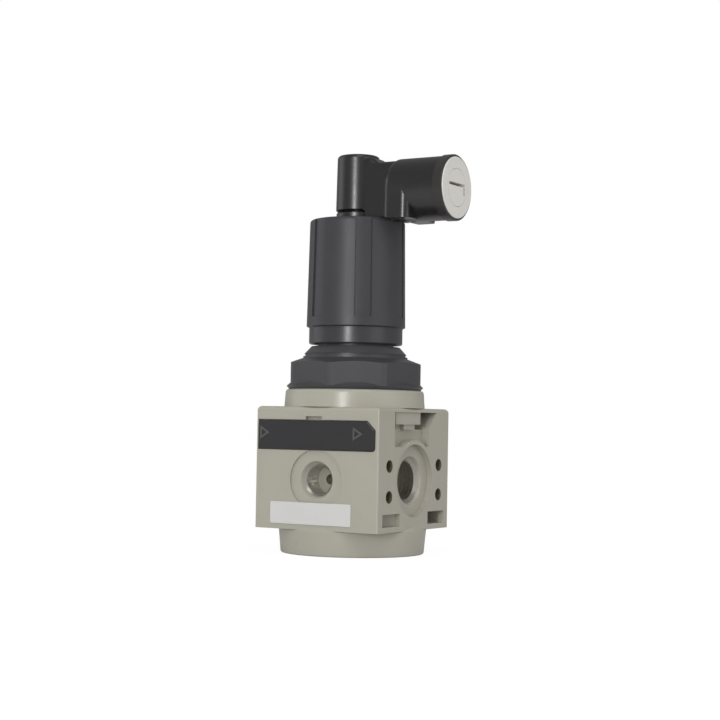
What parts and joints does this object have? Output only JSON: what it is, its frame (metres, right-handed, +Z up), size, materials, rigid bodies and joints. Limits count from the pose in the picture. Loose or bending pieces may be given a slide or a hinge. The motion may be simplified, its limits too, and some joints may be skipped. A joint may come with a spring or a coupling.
{
  "type": "lockable pressure regulator",
  "caption": "Compressed-air pressure regulator with a square ported body, screwed bonnet, fluted adjusting knob and an elbow-shaped key lock on top.",
  "frame": {"origin": "centre of the lower collar's foot, on the main axis", "axes": "+Z up along the main axis, air flows along +X from inlet to outlet, -Y is the front with the gauge port and the plate"},
  "size_m": [0.0563, 0.0454, 0.12],
  "materials": {
    "body": "fine grained light grey-beige",
    "dark_moulding": "fine grained dark grey",
    "nameplate": "smooth black",
    "label": "printed white film",
    "insert": "machined, threaded",
    "plated_steel": "zinc plated",
    "spring_steel": "drawn wire",
    "brass_inner": "turned",
    "alloy": "turned",
    "rubber": "moulded",
    "lock_black": "glossy black on cast zinc",
    "lock_rim": "smooth black",
    "lock_face": "satin light grey",
    "inner_plastic": "natural"
  },
  "bodies": {
    "regulator": {"body": "body", "port_insert_in": "insert", "port_insert_out": "insert", "gauge_insert_front": "insert", "gauge_insert_rear": "insert", "gauge_plug_seal": "rubber", "gauge_plug": "plated_steel", "front_plate": "nameplate", "rating_label": "label", "valve_seat": "brass_inner", "bottom_plug": "dark_moulding", "bottom_plug_seal": "rubber", "valve_spring": "spring_steel", "diaphragm": "rubber", "bonnet": "dark_moulding", "regulating_spring": "spring_steel"},
    "spindle": {"adjusting_screw": "plated_steel", "thrust_washer": "inner_plastic"},
    "nut": {"spring_nut": "brass_inner"},
    "knob": {"knob": "dark_moulding", "lock_stud": "lock_black", "stud_clip": "spring_steel"},
    "lock": {"lock_housing": "lock_black", "lock_cylinder": "lock_rim", "cylinder_pin": "plated_steel", "lock_face": "lock_face"},
    "key_plug": {"lock_plug": "alloy"},
    "bolt": {"lock_bolt": "plated_steel"},
    "sensor": {"diaphragm_plate": "alloy", "relief_disc": "alloy"},
    "valve": {"valve_poppet": "brass_inner", "poppet_seal": "rubber", "stem_seal": "rubber"}
  },
  "joints": [
    {"name": "knob_turn", "type": "hinge", "parent": "regulator", "child": "spindle", "pos_m": [0, 0, 0.0916], "axis": [0, 0, 1], "range_deg": [-2160, 0]},
    {"name": "nut_travel", "type": "slide", "parent": "regulator", "child": "nut", "axis": [0, 0, -1], "range_m": [0, 0.00901], "deforming": ["regulating_spring"]},
    {"name": "knob_lift", "type": "slide", "parent": "spindle", "child": "knob", "axis": [0, 0, 1], "range_m": [0, 0.002]},
    {"name": "lock_swivel", "type": "hinge", "parent": "knob", "child": "lock", "pos_m": [0, 0, 0.105], "axis": [0, 0, 1], "continuous": true},
    {"name": "key_turn", "type": "hinge", "parent": "lock", "child": "key_plug", "pos_m": [0.02, 0, 0.1086], "axis": [1, 0, 0], "range_deg": [0, 90]},
    {"name": "bolt_slide", "type": "slide", "parent": "lock", "child": "bolt", "axis": [0, 0, 1], "range_m": [0, 0.00311]},
    {"name": "diaphragm_travel", "type": "slide", "parent": "regulator", "child": "sensor", "axis": [0, 0, -1], "range_m": [0, 0.0014], "stiffness_N_per_m": 1500, "springref_m": -0.002, "deforming": ["diaphragm"]},
    {"name": "valve_open", "type": "slide", "parent": "regulator", "child": "valve", "axis": [0, 0, -1], "range_m": [0, 0.0014], "stiffness_N_per_m": 1500, "springref_m": -0.002, "deforming": ["valve_spring"]}
  ],
  "couplings": [
    {"joint": "nut_travel", "follows": "knob_turn", "m_per_rad": -0.00023873},
    {"joint": "bolt_slide", "follows": "key_turn", "m_per_rad": 0.0019807},
    {"joint": "valve_open", "follows": "diaphragm_travel", "ratio": 1}
  ]
}
